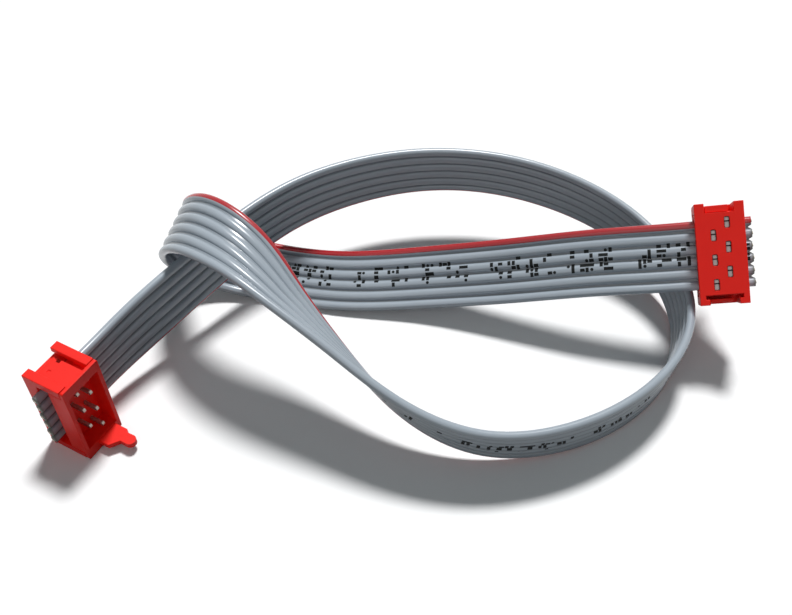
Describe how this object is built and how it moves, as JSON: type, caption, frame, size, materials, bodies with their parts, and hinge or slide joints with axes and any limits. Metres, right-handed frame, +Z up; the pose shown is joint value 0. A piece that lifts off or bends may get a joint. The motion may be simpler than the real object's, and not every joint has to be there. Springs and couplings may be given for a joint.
{
  "type": "ribbon cable",
  "caption": "Short grey ribbon cable with a red-striped edge, lying in a loose folded loop, with a red staggered-pin connector crimped on each end.",
  "frame": {"origin": "on the surface that the cable lies on, under the middle of the two connectors", "axes": "+Z up from the surface; +X from connector A towards connector B; +Y away from the side of the fold's open loop"},
  "size_m": [0.0727, 0.0394, 0.0175],
  "materials": {
    "ribbon_pvc": "satin grey PVC, with a red stripe along the first conductor's edge",
    "tinned_copper": "silvery tinned copper",
    "red_moulding": "satin red glass-filled thermoplastic",
    "tinned_contact": "tin-plated copper alloy, softly shiny"
  },
  "bodies": {
    "root": {"ribbon_jacket": "ribbon_pvc", "conductor_1": "tinned_copper", "conductor_2": "tinned_copper", "conductor_3": "tinned_copper", "conductor_4": "tinned_copper", "conductor_5": "tinned_copper", "conductor_6": "tinned_copper", "housing_a": "red_moulding", "cover_a": "red_moulding", "contact_a1": "tinned_contact", "contact_a2": "tinned_contact", "contact_a3": "tinned_contact", "contact_a4": "tinned_contact", "contact_a5": "tinned_contact", "contact_a6": "tinned_contact", "housing_b": "red_moulding", "cover_b": "red_moulding", "contact_b1": "tinned_contact", "contact_b2": "tinned_contact", "contact_b3": "tinned_contact", "contact_b4": "tinned_contact", "contact_b5": "tinned_contact", "contact_b6": "tinned_contact"}
  },
  "joints": []
}
